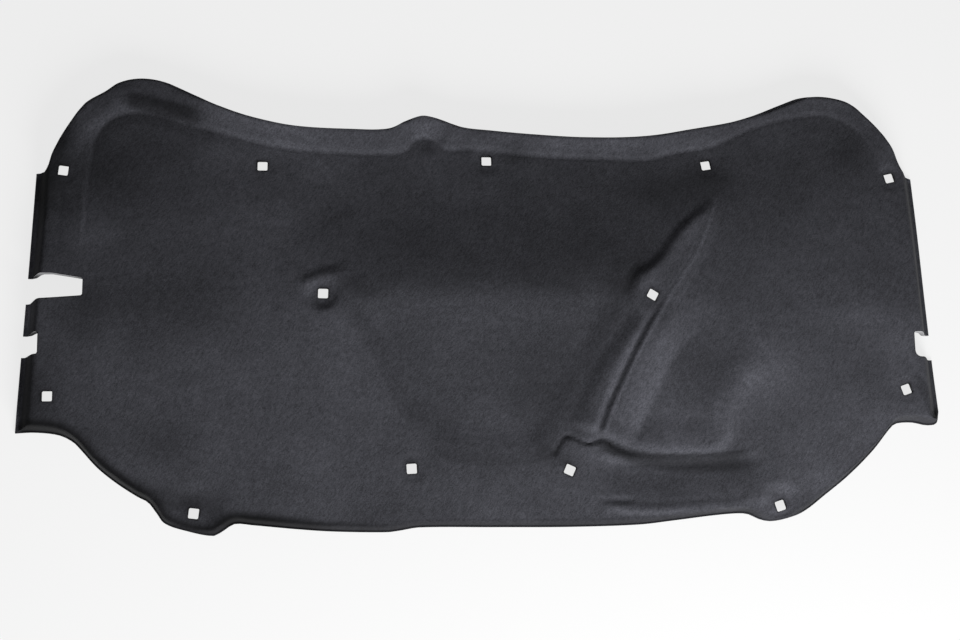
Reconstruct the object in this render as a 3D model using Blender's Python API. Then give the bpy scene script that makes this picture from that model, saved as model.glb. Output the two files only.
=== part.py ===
# Engine sound insulation pad: one sheet of felt, moulded to the inner side of a bonnet.
# It lies with its engine side up. +X is to the right, +Y is the windscreen edge, +Z is up.
# The sheet is moulded first (a height for every point of the plan), then punched:
# thirteen square clip holes and three notches go straight through it.

import math

import bmesh
import bpy
import numpy as np
from mathutils import Vector
from mathutils.geometry import delaunay_2d_cdt

MM = 0.001

# Overall sizes: from side to side, and from the left ear to the straight front edge
PAD_LENGTH = 1312 * MM
PAD_DEPTH = 657 * MM

# Plan: the places that the outline is built around
SHOULDER_X = 644 * MM
SHOULDER_Y = 186 * MM
FLANK_X = PAD_LENGTH / 2.0
FLANK_Y = -187 * MM
EAR_X = 503 * MM
LEFT_EAR_Y = 332 * MM
RIGHT_EAR_Y = 317 * MM
REAR_Y = 250 * MM
FRONT_Y = LEFT_EAR_Y - PAD_DEPTH
TAB_X = 390 * MM
TAB_DROP = 6 * MM
REAR_BUMP_X = -86 * MM
REAR_BUMP_OUT = 28 * MM

# Section of the felt
EDGE_THICK = 3.5 * MM
BODY_THICK = 10.0 * MM
SEAT_THICK = 4.0 * MM
WALL_THICK = 4.0 * MM

# Pressed edge: a flat strip, then a slope up to the body
SIDE_STRIP = 5.0 * MM
SIDE_SLOPE = 20 * MM
SIDE_ROUND = 0.5
PLAIN_STRIP = 2.5 * MM
REAR_SLOPE = 8 * MM
FRONT_SLOPE = 5 * MM
PLAIN_ROUND = 1.0

# Heights of the moulded form above the surface that the pad lies on
CREST_HEIGHT = 38 * MM
CREST_Y = 10 * MM
CREST_BOW = 8 * MM
CREST_LENGTH = 260 * MM
CREST_ROUND = 14 * MM
CREST_END_ROUND = 80 * MM
REAR_FALL = 15 * MM
FRONT_FALL = 26 * MM

# Mound along the middle of the crest
MOUND_HEIGHT = 6 * MM
MOUND_REAR = 130 * MM
MOUND_FRONT = 200 * MM
MOUND_FADE = 120 * MM

# Crease that parts the body from its rear brim
CREASE_DEPTH = 1.2 * MM
CREASE_HALF = 6 * MM
CREASE_FADE = 80 * MM
BRIM_RISE = 13 * MM
EAR_BRIM_SHARE = 0.45
BRIM_WIDTH = 36 * MM
BRIM_START_Y = 60 * MM
BRIM_START_BLEND = 90 * MM
EAR_BRIM_X = 300 * MM
EAR_BRIM_BLEND = 120 * MM
SIDE_BRIM_FALL = 5 * MM

# Stiffening ridge between two lines that run down towards the middle of the front edge:
# its foot on the left and its lip on the right. Above the waist its top leans to the lip.
# Below it the top is level, with a groove before the lip and an apron beyond it.
RIDGE_HEIGHT = 7 * MM
RIDGE_FLANK = 9 * MM
RIDGE_LEAN = 0.75
WAIST_LEAN = 0.1
RIDGE_WAIST = 190 * MM
WAIST_BLEND = 60 * MM
GROOVE_DEPTH = 3 * MM
GROOVE_OFFSET = 10 * MM
GROOVE_HALF = 7 * MM
RIDGE_SIDE = 14 * MM
RIDGE_APRON = 50 * MM
RIDGE_FADE = 60 * MM
RIDGE_END = 14 * MM

# Basin on the ridge's left. On its right a hump, whose rim is steep in front and long at
# the side, and a trough in front of it
BASIN_DEPTH = 5.5 * MM
BASIN_SLOPE = 28 * MM
BASIN_FADE = 60 * MM
HUMP_HEIGHT = 5 * MM
HUMP_INSIDE = 46 * MM
HUMP_STEEP = 8 * MM
HUMP_LONG = 38 * MM
HUMP_FADE = 50 * MM
TROUGH_DEPTH = 5.5 * MM
TROUGH_REAR = 9 * MM
TROUGH_FRONT = 50 * MM
TROUGH_FADE = 40 * MM

# Clip holes and the flat seats pressed round them
CLIP_HOLE = 14.2 * MM
CLIP_CORNER = 2.0 * MM
SEAT_RADIUS = 14 * MM
SEAT_BLEND = 9 * MM
SEAT_DEPTH = 0.8 * MM
DEEP_SEAT_DEPTH = 8 * MM
DEEP_SEAT_BLEND = 19 * MM
TAB_SEAT_DEPTH = 7 * MM

# Notches cut in from the sides
DEEP_NOTCH_Y = 12 * MM
DEEP_NOTCH_DEPTH = 84 * MM
DEEP_NOTCH_MOUTH = 39 * MM
DEEP_NOTCH_END = 25 * MM
SMALL_NOTCH_Y = -67 * MM
SMALL_NOTCH_DEPTH = 28 * MM
SMALL_NOTCH_WIDTH = 31 * MM
RIGHT_NOTCH_Y = -72 * MM
RIGHT_NOTCH_DEPTH = 33 * MM
RIGHT_NOTCH_WIDTH = 37 * MM
NOTCH_CORNER = 3 * MM
RIGHT_NOTCH_CORNER = 9 * MM
CUT_OVERRUN = 20 * MM

# Spacing of the facets, and how near to each other their corners may come
OUTLINE_STEP = 18 * MM
FORM_STEP = 22 * MM
BODY_STEP = 32 * MM
EDGE_CLEARANCE = 2 * MM
SEAT_CLEARANCE = 4 * MM
RIDGE_CLEARANCE = 4 * MM
FORM_CLEARANCE = 6 * MM
BODY_CLEARANCE = 20 * MM
SEAT_POINTS = 12

ANCHORS = {
    "rear": (0.0, REAR_Y),
    "bump": (REAR_BUMP_X, REAR_Y + REAR_BUMP_OUT),
    "left ear": (-EAR_X, LEFT_EAR_Y),
    "right ear": (EAR_X, RIGHT_EAR_Y),
    "left shoulder": (-SHOULDER_X, SHOULDER_Y),
    "right shoulder": (SHOULDER_X, SHOULDER_Y),
    "left flank": (-FLANK_X, FLANK_Y),
    "right flank": (FLANK_X, FLANK_Y),
    "left tab": (-TAB_X, FRONT_Y - TAB_DROP),
    "right tab": (TAB_X, FRONT_Y),
    "front": (0.0, FRONT_Y),
    "middle": (0.0, 0.0),
}

# The outline, clockwise seen from above: anchor, millimetres from it, and True at a sharp corner
OUTLINE = (
    ("bump", 0, 0, False), ("bump", 22, -5, False), ("bump", 53, -17, False),
    ("rear", 10, 6, False), ("rear", 68, 1, False), ("rear", 150, -3, False),
    ("rear", 236, -1, False),
    ("right ear", -199, -57, False), ("right ear", -148, -47, False),
    ("right ear", -98, -33, False), ("right ear", -46, -12, False),
    ("right ear", -22, -3, False), ("right ear", 4, 0, False),
    ("right ear", 35, -4, False), ("right ear", 58, -14, False),
    ("right ear", 80, -35, False), ("right ear", 101, -59, False),
    ("right shoulder", -24, 46, False), ("right shoulder", -16, 20, False),
    ("right shoulder", -9, 6, False), ("right shoulder", 2, 1, True),
    ("right flank", 2, 20, False), ("right flank", 1, 8, False),
    ("right flank", -3, 3, False), ("right flank", -18, 1, False),
    ("right flank", -38, 5, False), ("right flank", -61, 4, False),
    ("right flank", -70, -1, False),
    ("right tab", 166, 103, False), ("right tab", 128, 68, False),
    ("right tab", 91, 40, False), ("right tab", 57, 16, False),
    ("right tab", 29, 6, False), ("right tab", 7, 3, False),
    ("right tab", -9, 7, False), ("right tab", -21, 13, False),
    ("right tab", -34, 15, False),
    ("front", 322, 13, False), ("front", 259, 6, False), ("front", 210, 1, False),
    ("front", 112, -1, False), ("front", 5, 0, False), ("front", -100, 1, False),
    ("front", -127, -3, False), ("front", -145, -5, False),
    ("front", -220, -3, False), ("front", -271, 1, False), ("front", -329, 7, False),
    ("left tab", 36, 15, False), ("left tab", 21, 6, False), ("left tab", 7, -1, False),
    ("left tab", -33, 7, False), ("left tab", -59, 17, False),
    ("left tab", -70, 31, False), ("left tab", -82, 46, False),
    ("left tab", -97, 54, False), ("left tab", -126, 73, False),
    ("left tab", -152, 94, False),
    ("left flank", 91, -25, False), ("left flank", 80, -14, False),
    ("left flank", 60, -4, False), ("left flank", 27, 0, False),
    ("left flank", 1, -1, True),
    ("left shoulder", 2, 0, True), ("left shoulder", 14, 3, True),
    ("left shoulder", 21, 25, False),
    ("left ear", -104, -86, False), ("left ear", -76, -42, False),
    ("left ear", -47, -22, False), ("left ear", -26, -7, False),
    ("left ear", 4, 0, False), ("left ear", 35, -3, False),
    ("left ear", 62, -14, False), ("left ear", 90, -28, False),
    ("left ear", 121, -43, False), ("left ear", 167, -59, False),
    ("left ear", 228, -72, False),
    ("rear", -189, 6, False), ("rear", -141, 7, False),
    ("bump", -33, -10, False), ("bump", -13, -2, False),
)

# The crease from the deep notch round both ears: anchor and millimetres from it
CREASE = (
    ("left shoulder", 78, -157), ("left shoulder", 78, -90), ("left shoulder", 80, -25),
    ("left shoulder", 85, 12), ("left ear", -46, -103), ("left ear", -26, -77),
    ("left ear", -4, -62), ("left ear", 19, -59), ("left ear", 49, -63),
    ("left ear", 79, -75), ("left ear", 140, -98), ("left ear", 208, -115),
    ("rear", -209, -37), ("rear", -149, -37), ("bump", -8, -51), ("bump", 20, -59),
    ("rear", -22, -29), ("rear", 69, -38), ("rear", 169, -42), ("rear", 243, -43),
    ("rear", 279, -33), ("right ear", -167, -90), ("right ear", -106, -61),
    ("right ear", -56, -46), ("right ear", -14, -38), ("right ear", 14, -38),
    ("right ear", 34, -45), ("right ear", 58, -64), ("right ear", 81, -104),
    ("right shoulder", -58, -30),
)

# Foot and lip of the ridge, from its upper end down, in millimetres from the middle
RIDGE_FOOT = (
    (336, 160), (319, 135), (298, 120), (269, 90), (246, 62), (222, 38), (208, 16), (201, -4),
    (200, -22), (194, -48), (181, -75), (156, -111), (134, -147), (116, -182), (103, -208),
)
RIDGE_LIP = (
    (340, 165), (326, 119), (315, 97), (305, 74), (294, 49), (277, 14), (258, -15),
    (238, -52), (214, -95), (191, -138), (171, -174), (156, -206),
)

# The mound's crest, the basin's border, the hump's rim and the trough's line
MOUND = ((-330, 8), (-215, 12), (-100, 19), (0, 20), (100, 19), (205, 12), (300, 8))
BASIN = (
    (-215, 0), (-188, -50), (-160, -93), (-126, -164), (-85, -208), (-2, -226),
    (72, -222), (99, -207), (130, -147), (177, -75), (197, -22), (205, 0), (100, 40), (-100, 40),
)
HUMP = (
    (196, -214), (237, -227), (293, -228), (322, -225), (338, -214), (347, -190), (352, -153),
    (367, -115), (398, -72),
)
TROUGH = ((140, -230), (200, -244), (250, -247), (330, -243), (395, -232))

# Stretches of the outline, clockwise: first and last anchor, strip, slope and how round it is
STRETCHES = (
    ("left shoulder", "right shoulder", PLAIN_STRIP, REAR_SLOPE, PLAIN_ROUND),
    ("right shoulder", "right flank", SIDE_STRIP, SIDE_SLOPE, SIDE_ROUND),
    ("right flank", "left flank", PLAIN_STRIP, FRONT_SLOPE, PLAIN_ROUND),
    ("left flank", "left shoulder", SIDE_STRIP, SIDE_SLOPE, SIDE_ROUND),
)

# Clip holes: name, anchor, millimetres from it, turn in degrees and the depth of the seat
CLIPS = (
    ("rear_left_outer", "left shoulder", 45, -4, -7, SEAT_DEPTH),
    ("rear_left_inner", "rear", -320, -58, 0, SEAT_DEPTH),
    ("rear_middle", "rear", 3, -47, 0, SEAT_DEPTH),
    ("rear_right_inner", "rear", 327, -52, 9, SEAT_DEPTH),
    ("rear_right_outer", "right shoulder", -41, -6, 13, SEAT_DEPTH),
    ("centre_left", "middle", -233, 2, -2, DEEP_SEAT_DEPTH),
    ("centre_right", "middle", 236, -1, -29, SEAT_DEPTH),
    ("side_left", "left flank", 47, 46, 0, SEAT_DEPTH),
    ("side_right", "right flank", -53, 49, 19, SEAT_DEPTH),
    ("front_left_inner", "front", -110, 81, 3, SEAT_DEPTH),
    ("front_right_inner", "front", 112, 77, -24, SEAT_DEPTH),
    ("front_left_tab", "left tab", -19, 29, -7, TAB_SEAT_DEPTH),
    ("front_right_tab", "right tab", 22, 24, 18, TAB_SEAT_DEPTH),
)


def placed(anchor, across, along):
    x, y = ANCHORS[anchor]
    return (x + across * MM, y + along * MM)


def smooth(t):
    t = np.clip(t, 0.0, 1.0)
    return t * t * (3.0 - 2.0 * t)


def bell(t):
    return 0.5 + 0.5 * np.cos(math.pi * np.clip(np.abs(t), 0.0, 1.0))


# Distance of each point to a chain of segments, the side it lies on (+1 is left of the
# chain's run) and how far along the chain its foot is
def chain_distance(points, chain):
    start = chain[:-1]
    run = chain[1:] - start
    length = np.hypot(run[:, 0], run[:, 1])
    travelled = np.concatenate([[0.0], np.cumsum(length)[:-1]])
    offset = points[:, None, :] - start[None]
    share = np.clip((offset * run).sum(axis=2) / (length**2), 0.0, 1.0)
    gap = offset - share[:, :, None] * run[None]
    distance = np.hypot(gap[:, :, 0], gap[:, :, 1])
    nearest = distance.argmin(axis=1)
    row = np.arange(len(points))
    cross = run[nearest, 0] * offset[row, nearest, 1] - run[nearest, 1] * offset[row, nearest, 0]
    side = np.where(cross >= 0.0, 1.0, -1.0)
    along = travelled[nearest] + share[row, nearest] * length[nearest]
    return distance[row, nearest], side, along


def closed_chain(loop):
    return np.vstack([loop, loop[:1]])


def inside(points, loop):
    x, y = points[:, 0, None], points[:, 1, None]
    a = loop
    b = np.roll(loop, -1, axis=0)
    rise = b[:, 1] - a[:, 1]
    rise = np.where(rise == 0.0, 1e-12, rise)
    spans = (a[:, 1] > y) != (b[:, 1] > y)
    crossing = a[:, 0] + (y - a[:, 1]) / rise * (b[:, 0] - a[:, 0])
    return (spans & (x < crossing)).sum(axis=1) % 2 == 1


# A smooth chain through points: a Bezier curve with automatic handles, read off as points.
# A sharp point gets vector handles.
def curve_points(points, sharp, cyclic, steps):
    data = bpy.data.curves.new("guide", "CURVE")
    data.dimensions = "2D"
    data.fill_mode = "NONE"
    data.resolution_u = steps
    spline = data.splines.new("BEZIER")
    spline.bezier_points.add(len(points) - 1)
    spline.use_cyclic_u = cyclic
    for knot, (x, y), corner in zip(spline.bezier_points, points, sharp):
        knot.co = (x, y, 0.0)
        knot.handle_left_type = "VECTOR" if corner else "AUTO"
        knot.handle_right_type = knot.handle_left_type
    guide = bpy.data.objects.new("guide", data)
    bpy.context.scene.collection.objects.link(guide)
    graph = bpy.context.evaluated_depsgraph_get()
    mesh = bpy.data.meshes.new_from_object(guide.evaluated_get(graph))
    chain = np.array([tuple(vertex.co)[:2] for vertex in mesh.vertices])
    bpy.data.objects.remove(guide)
    bpy.data.curves.remove(data)
    bpy.data.meshes.remove(mesh)
    return chain


# The same chain with points an even step apart, its sharp corners kept
def resampled(chain, step, cyclic, corners=()):
    path = closed_chain(chain) if cyclic else chain
    length = np.hypot(*np.diff(path, axis=0).T)
    travelled = np.concatenate([[0.0], np.cumsum(length)])
    stops = {0.0, travelled[-1]}
    for corner in corners:
        stops.add(travelled[np.hypot(*(chain - corner).T).argmin()])
    stops = sorted(stops)
    marks = [travelled[-1]]
    for low, high in zip(stops[:-1], stops[1:]):
        count = max(1, round((high - low) / step))
        marks += [low + (high - low) * i / count for i in range(count)]
    marks = np.array(sorted(marks))
    even = np.column_stack([np.interp(marks, travelled, path[:, axis]) for axis in (0, 1)])
    return even[:-1] if cyclic else even


def guide_line(points):
    chain = curve_points(np.array(points) * MM, [False] * len(points), False, 4)
    return resampled(chain, FORM_STEP, False)


def pad_outline():
    points = [placed(anchor, across, along) for anchor, across, along, _ in OUTLINE]
    sharp = [corner for *_, corner in OUTLINE]
    chain = curve_points(points, sharp, True, 6)
    corners = [np.array(point) for point, corner in zip(points, sharp) if corner]
    return resampled(chain, OUTLINE_STEP, True, corners)


# A closed shape with each corner rounded to its own radius, in a few short chords
def rounded_loop(corners, radii, steps):
    corners = [Vector(corner) for corner in corners]
    loop = []
    for i, (corner, radius) in enumerate(zip(corners, radii)):
        before = (corners[i - 1] - corner).normalized()
        after = (corners[(i + 1) % len(corners)] - corner).normalized()
        if radius == 0.0:
            loop.append(tuple(corner))
            continue
        half = before.angle(after) / 2.0
        centre = corner + (before + after).normalized() * (radius / math.sin(half))
        first = corner + before * (radius / math.tan(half)) - centre
        last = corner + after * (radius / math.tan(half)) - centre
        for step in range(steps + 1):
            spoke = first.slerp(last, step / steps)
            loop.append(tuple(centre + spoke.normalized() * radius))
    return np.array(loop)


def clip_centre(clip):
    _, anchor, across, along, _, _ = clip
    return np.array(placed(anchor, across, along))


def clip_hole(clip):
    half = CLIP_HOLE / 2.0
    square = ((-half, -half), (half, -half), (half, half), (-half, half))
    loop = rounded_loop(square, [CLIP_CORNER] * 4, 2)
    turn = math.radians(clip[4])
    spin = np.array(((math.cos(turn), math.sin(turn)), (-math.sin(turn), math.cos(turn))))
    return loop @ spin + clip_centre(clip)


def side_edge_x(y):
    share = (y - FLANK_Y) / (SHOULDER_Y - FLANK_Y)
    return FLANK_X + (SHOULDER_X - FLANK_X) * share


# The deep notch runs parallel for its outer half and narrows towards its end
def deep_notch():
    edge = -side_edge_x(DEEP_NOTCH_Y)
    waist = edge + DEEP_NOTCH_DEPTH / 2.0
    end = edge + DEEP_NOTCH_DEPTH
    mouth = DEEP_NOTCH_MOUTH / 2.0
    back = DEEP_NOTCH_END / 2.0
    corners = (
        (edge - CUT_OVERRUN, DEEP_NOTCH_Y - mouth), (waist, DEEP_NOTCH_Y - mouth * 0.8),
        (end, DEEP_NOTCH_Y - back), (end, DEEP_NOTCH_Y + back),
        (waist, DEEP_NOTCH_Y + mouth), (edge - CUT_OVERRUN, DEEP_NOTCH_Y + mouth),
    )
    return rounded_loop(corners, (0.0, 0.0, NOTCH_CORNER, NOTCH_CORNER, 0.0, 0.0), 2)


def small_notch():
    edge = -side_edge_x(SMALL_NOTCH_Y)
    low = SMALL_NOTCH_Y - SMALL_NOTCH_WIDTH / 2.0
    high = SMALL_NOTCH_Y + SMALL_NOTCH_WIDTH / 2.0
    end = edge + SMALL_NOTCH_DEPTH
    corners = ((edge - CUT_OVERRUN, low), (end, low), (end, high), (edge - CUT_OVERRUN, high))
    return rounded_loop(corners, (0.0, NOTCH_CORNER, NOTCH_CORNER, 0.0), 2)


def right_notch():
    edge = side_edge_x(RIGHT_NOTCH_Y)
    low = RIGHT_NOTCH_Y - RIGHT_NOTCH_WIDTH / 2.0
    high = RIGHT_NOTCH_Y + RIGHT_NOTCH_WIDTH / 2.0
    end = edge - RIGHT_NOTCH_DEPTH
    corners = ((end, low), (edge + CUT_OVERRUN, low), (edge + CUT_OVERRUN, high), (end, high))
    return rounded_loop(corners, (RIGHT_NOTCH_CORNER, 0.0, 0.0, NOTCH_CORNER), 3)


# The part of the outline from one anchor to another, clockwise
def stretch(outline, first, last):
    start = np.hypot(*(outline - ANCHORS[first]).T).argmin()
    end = np.hypot(*(outline - ANCHORS[last]).T).argmin()
    count = (end - start) % len(outline)
    return np.roll(outline, -start, axis=0)[: count + 1]


# From 0 at the foot of a slope to 1 at its top: even at both ends, or round only at the top
def slope_share(t, roundness):
    t = np.clip(t, 0.0, 1.0)
    return (1.0 - roundness) * smooth(t) + roundness * np.sin(t * math.pi / 2.0)


def mixed(first, last, share):
    return first + (last - first) * share


# How far points lie along a line, with 1 fading to 0 at both of its ends
def line_ends(line, along, first_fade, last_fade):
    total = np.hypot(*np.diff(line, axis=0).T).sum()
    return smooth(along / first_fade) * smooth((total - along) / last_fade), smooth(along / total)


# A form that follows a line: 1 on it, falling to 0 at its reach on each side, and fading at
# both ends. The reach on the right goes from one value to another along the line.
def along_line(points, line, left, right, first_fade, last_fade):
    gap, side, along = chain_distance(points, line)
    ends, share = line_ends(line, along, first_fade, last_fade)
    return ends * bell(gap / np.where(side > 0.0, left, mixed(*right, share)))


# The brim rises from the crease to the rear edge, and falls away towards the left side
def brim(points, crease):
    gap, side, along = chain_distance(points, crease)
    ends, _ = line_ends(crease, along, CREASE_FADE, CREASE_FADE)
    x, y = points[:, 0], points[:, 1]
    rear = smooth((y - SHOULDER_Y + BRIM_START_Y) / BRIM_START_BLEND)
    ear = smooth((np.abs(x) - EAR_BRIM_X) / EAR_BRIM_BLEND)
    rise = BRIM_RISE * mixed(1.0, EAR_BRIM_SHARE, ear)
    outside = np.clip(np.where(side > 0.0, gap, 0.0) / BRIM_WIDTH, 0.0, 1.0)
    lift = rise * rear - SIDE_BRIM_FALL * (1.0 - rear) * (x < 0.0)
    return ends * (outside * lift - CREASE_DEPTH * bell(gap / CREASE_HALF))


# Up over the flank to the top. Beyond the lip the height falls as 1 less the share squared.
def ridge(points, foot, lip):
    gap, side, _ = chain_distance(points, foot)
    from_foot = gap * side
    gap, side, along = chain_distance(points, lip)
    to_lip = -gap * side
    ends, _ = line_ends(lip, along, RIDGE_FADE, RIDGE_END)
    lower = smooth((along - RIDGE_WAIST) / WAIST_BLEND)
    width = np.maximum(from_foot + to_lip, MM)
    top = 1.0 - mixed(RIDGE_LEAN, WAIST_LEAN, lower) * np.clip(from_foot / width, 0.0, 1.0)
    beyond = np.clip(-to_lip / mixed(RIDGE_SIDE, RIDGE_APRON, lower), 0.0, 1.0)
    groove = GROOVE_DEPTH * bell((to_lip - GROOVE_OFFSET) / GROOVE_HALF) * lower
    raised = RIDGE_HEIGHT * top * (1.0 - beyond**2) - groove
    return ends * smooth(from_foot / RIDGE_FLANK) * raised


def basin(points, border):
    gap, _, _ = chain_distance(points, closed_chain(border))
    depth = np.where(inside(points, border), smooth(gap / BASIN_SLOPE), 0.0)
    return -BASIN_DEPTH * depth * smooth((CREST_Y - points[:, 1]) / BASIN_FADE)


# Two slopes that meet in a soft crest, sharpest in the middle of the pad
def dome(points):
    x, y = points[:, 0], points[:, 1]
    beyond = y - CREST_Y - CREST_BOW * bell(x / CREST_LENGTH)
    middle = 1.0 - smooth((np.abs(x) - CREST_LENGTH * 0.7) / (CREST_LENGTH * 0.6))
    soft = CREST_END_ROUND + (CREST_ROUND - CREST_END_ROUND) * middle
    rear_grade = REAR_FALL / (REAR_Y - CREST_Y)
    front_grade = FRONT_FALL / (CREST_Y - FRONT_Y)
    fall = np.hypot(beyond, soft) - soft
    return CREST_HEIGHT - np.where(beyond > 0.0, rear_grade, front_grade) * fall


# The moulded sheet: the body's form, its edge pressed down to the floor, then the seats
class Moulding:
    def __init__(self):
        self.outline = pad_outline()
        crease = [placed(*point) for point in CREASE]
        self.crease = resampled(curve_points(crease, [False] * len(crease), False, 4), FORM_STEP, False)
        self.foot = guide_line(RIDGE_FOOT)
        self.lip = guide_line(RIDGE_LIP)
        self.mound = guide_line(MOUND)
        self.hump = guide_line(HUMP)
        self.trough = guide_line(TROUGH)
        self.basin = np.array(BASIN) * MM
        self.edges = [(stretch(self.outline, *row[:2]), *row[2:]) for row in STRETCHES]
        self.seats = [self.seat(clip) for clip in CLIPS]

    def body(self, points):
        height = dome(points) + brim(points, self.crease) + ridge(points, self.foot, self.lip)
        height = height + basin(points, self.basin)
        mound = along_line(
            points, self.mound, MOUND_REAR, (MOUND_FRONT, MOUND_FRONT), MOUND_FADE, MOUND_FADE
        )
        hump = along_line(
            points, self.hump, HUMP_INSIDE, (HUMP_STEEP, HUMP_LONG), HUMP_FADE / 2.0, HUMP_FADE
        )
        trough = along_line(
            points, self.trough, TROUGH_REAR, (TROUGH_FRONT, TROUGH_FRONT), TROUGH_FADE, TROUGH_FADE
        )
        return height + MOUND_HEIGHT * mound + HUMP_HEIGHT * hump - TROUGH_DEPTH * trough

    # A seat lies in a plane, level or tilted as the body round it is: its centre, the height
    # there, its rise along X and Y, and how far the blend round it reaches
    def seat(self, clip):
        centre = clip_centre(clip)
        depth = clip[5]
        east, west, north, south = self.body(ring(centre, SEAT_RADIUS, 4)[[0, 2, 1, 3]])
        rise = np.array((east - west, north - south)) / (2.0 * SEAT_RADIUS)
        height = (east + west + north + south) / 4.0 - depth
        blend = DEEP_SEAT_BLEND if depth > SEAT_DEPTH else SEAT_BLEND
        return centre, height, rise, blend

    def edge_share(self, points, inset):
        shares = []
        for chain, strip, slope, roundness in self.edges:
            gap, _, _ = chain_distance(points, chain)
            shares.append(slope_share((gap - strip - inset) / slope, roundness))
        return np.min(shares, axis=0)

    # Blends a surface into each seat's plane, which lies at a depth below the top of the seat
    def seated(self, points, height, depth):
        for centre, level, rise, blend in self.seats:
            plane = level - depth + (points - centre) @ rise
            share = smooth((np.hypot(*(points - centre).T) - SEAT_RADIUS) / blend)
            height = mixed(plane, height, share)
        return height

    def top(self, points):
        height = mixed(EDGE_THICK, self.body(points), self.edge_share(points, 0.0))
        return self.seated(points, height, 0.0)

    def bottom(self, points):
        height = (self.body(points) - BODY_THICK) * self.edge_share(points, WALL_THICK)
        return self.seated(points, height, SEAT_THICK)


# Rows of points beside a chain, one at each distance to its left. A point that comes
# nearer to another part of the chain is left out.
def rows_beside(chain, offsets):
    run = np.gradient(chain, axis=0)
    run = run / np.hypot(run[:, 0], run[:, 1])[:, None]
    left = np.column_stack([-run[:, 1], run[:, 0]])
    rows = []
    for offset in offsets:
        row = chain + left * offset
        gap, _, _ = chain_distance(row, chain)
        rows.append(row[gap > abs(offset) * 0.9 - 1e-6])
    return rows


def ring(centre, radius, count):
    angle = np.arange(count) * 2.0 * math.pi / count
    return centre + radius * np.column_stack([np.cos(angle), np.sin(angle)])


# Points of the plan, placed in order of rank: none comes nearer than its clearance to
# one placed before it, to the outline or to a cut
class Plan:
    def __init__(self, outline, punches):
        self.outline = outline
        self.punches = punches
        self.cuts = [closed_chain(outline)] + [closed_chain(loop) for loop in punches]
        self.points = np.vstack([outline] + punches)
        self.edges = []
        first = 0
        for loop in [outline] + punches:
            count = len(loop)
            self.edges += [(first + i, first + (i + 1) % count) for i in range(count)]
            first += count

    def free(self, point, clearance):
        here = point[None]
        if not inside(here, self.outline)[0]:
            return False
        if any(inside(here, loop)[0] for loop in self.punches):
            return False
        if np.hypot(*(self.points - point).T).min() < clearance:
            return False
        return min(chain_distance(here, cut)[0][0] for cut in self.cuts) > clearance * 0.6

    # Neighbours of a row are joined by an edge that the facets keep
    def add(self, points, clearance, joined=True):
        before = None
        for point in points:
            if not self.free(point, clearance):
                before = None
                continue
            self.points = np.vstack([self.points, point[None]])
            here = len(self.points) - 1
            if joined and before is not None:
                self.edges.append((before, here))
            before = here

    def facets(self):
        corners = [Vector(point) for point in self.points]
        found, _, faces, _, _, _ = delaunay_2d_cdt(corners, self.edges, [], 0, 1e-7)
        found = np.array([tuple(point) for point in found])
        faces = np.array([tuple(face) for face in faces])
        centres = found[faces].mean(axis=1)
        keep = inside(centres, self.outline)
        for loop in self.punches:
            keep &= ~inside(centres, loop)
        return found, faces[keep]


def body_grid(outline):
    low = outline.min(axis=0)
    high = outline.max(axis=0)
    rows = []
    for row, y in enumerate(np.arange(low[1], high[1], BODY_STEP * 0.866)):
        start = low[0] + (row % 2) * BODY_STEP / 2.0
        x = np.arange(start, high[0], BODY_STEP)
        rows.append(np.column_stack([x, np.full(len(x), y)]))
    return np.vstack(rows)


def plan_points(form, punches):
    plan = Plan(form.outline, punches)
    for centre, _, _, blend in form.seats:
        for reach in (0.0, blend / 2.0, blend):
            plan.add(ring(centre, SEAT_RADIUS + reach, SEAT_POINTS), SEAT_CLEARANCE)
    for chain, strip, slope, _ in form.edges:
        offsets = (-strip, -strip - slope * 0.4, -strip - slope, -strip - slope - WALL_THICK)
        for row in rows_beside(chain, offsets):
            plan.add(row, EDGE_CLEARANCE)
    for row in rows_beside(form.foot, (0.0, RIDGE_FLANK, RIDGE_FLANK / 2.0)):
        plan.add(row, RIDGE_CLEARANCE)
    groove = (-GROOVE_OFFSET, -GROOVE_OFFSET - GROOVE_HALF)
    for row in rows_beside(form.lip, (0.0, *groove, RIDGE_SIDE, RIDGE_APRON)):
        plan.add(row, RIDGE_CLEARANCE)
    forms = (
        (form.crease, (0.0, CREASE_HALF, -CREASE_HALF, BRIM_WIDTH)),
        (form.hump, (0.0, -HUMP_STEEP, HUMP_INSIDE / 2.0, -HUMP_LONG)),
        (form.trough, (0.0, -TROUGH_FRONT / 2.0)),
        (form.mound, (0.0, CREST_ROUND * 2.0, -CREST_ROUND * 2.0)),
    )
    for line, offsets in forms:
        for row in rows_beside(line, offsets):
            plan.add(row, FORM_CLEARANCE)
    plan.add(body_grid(form.outline), BODY_CLEARANCE, joined=False)
    return plan


# The flat facets are lifted to the underside, extruded, and the copies lifted to the top face
def pad_mesh(form, punches):
    points, faces = plan_points(form, punches).facets()
    centre = (form.outline.min(axis=0) + form.outline.max(axis=0)) / 2.0
    bm = bmesh.new()
    corners = [bm.verts.new((x, y, z)) for (x, y), z in zip(points, form.bottom(points))]
    sheet = [bm.faces.new([corners[i] for i in face]) for face in faces]
    bmesh.ops.delete(bm, geom=[vert for vert in bm.verts if not vert.link_faces], context="VERTS")
    raised = bmesh.ops.extrude_face_region(bm, geom=sheet, use_keep_orig=True)["geom"]
    raised = [item for item in raised if isinstance(item, bmesh.types.BMVert)]
    plan = np.array([tuple(vert.co)[:2] for vert in raised])
    for vert, height in zip(raised, form.top(plan)):
        vert.co.z = height
    bmesh.ops.recalc_face_normals(bm, faces=bm.faces)
    bmesh.ops.translate(bm, verts=bm.verts, vec=(-centre[0], -centre[1], 0.0))
    mesh = bpy.data.meshes.new("insulation_pad")
    bm.to_mesh(mesh)
    bm.free()
    mesh.shade_smooth()
    mesh.set_sharp_from_angle(angle=math.radians(45))
    return mesh


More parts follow.
